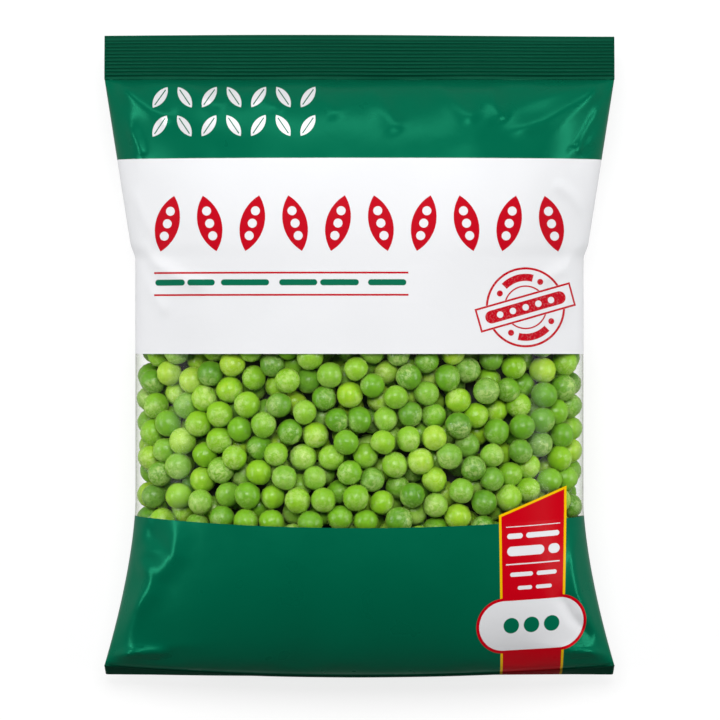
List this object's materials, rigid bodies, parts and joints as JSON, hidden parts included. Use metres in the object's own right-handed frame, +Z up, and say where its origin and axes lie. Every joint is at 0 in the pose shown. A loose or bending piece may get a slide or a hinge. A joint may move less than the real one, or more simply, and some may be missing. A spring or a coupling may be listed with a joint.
{
  "type": "frozen vegetable bag",
  "caption": "Printed pillow bag of frozen peas lying on its back, with crimped end seals and a clear band round the middle that shows the peas.",
  "frame": {"origin": "middle of the bag's bounding box in plan, on the surface that it lies on", "axes": "+Z up out of the printed front, +Y along the length towards the flat top seal, +X to the right of the print"},
  "size_m": [0.27, 0.34, 0.084],
  "materials": {
    "printed_film": "satin printed film: deep green at both ends, a white band with red details in the upper middle, and a red ribbon at the lower right",
    "peas": "satin fresh green skins with a light frost, behind clear film"
  },
  "bodies": {
    "root": {"bag": "printed_film", "peas": "peas"}
  },
  "joints": []
}
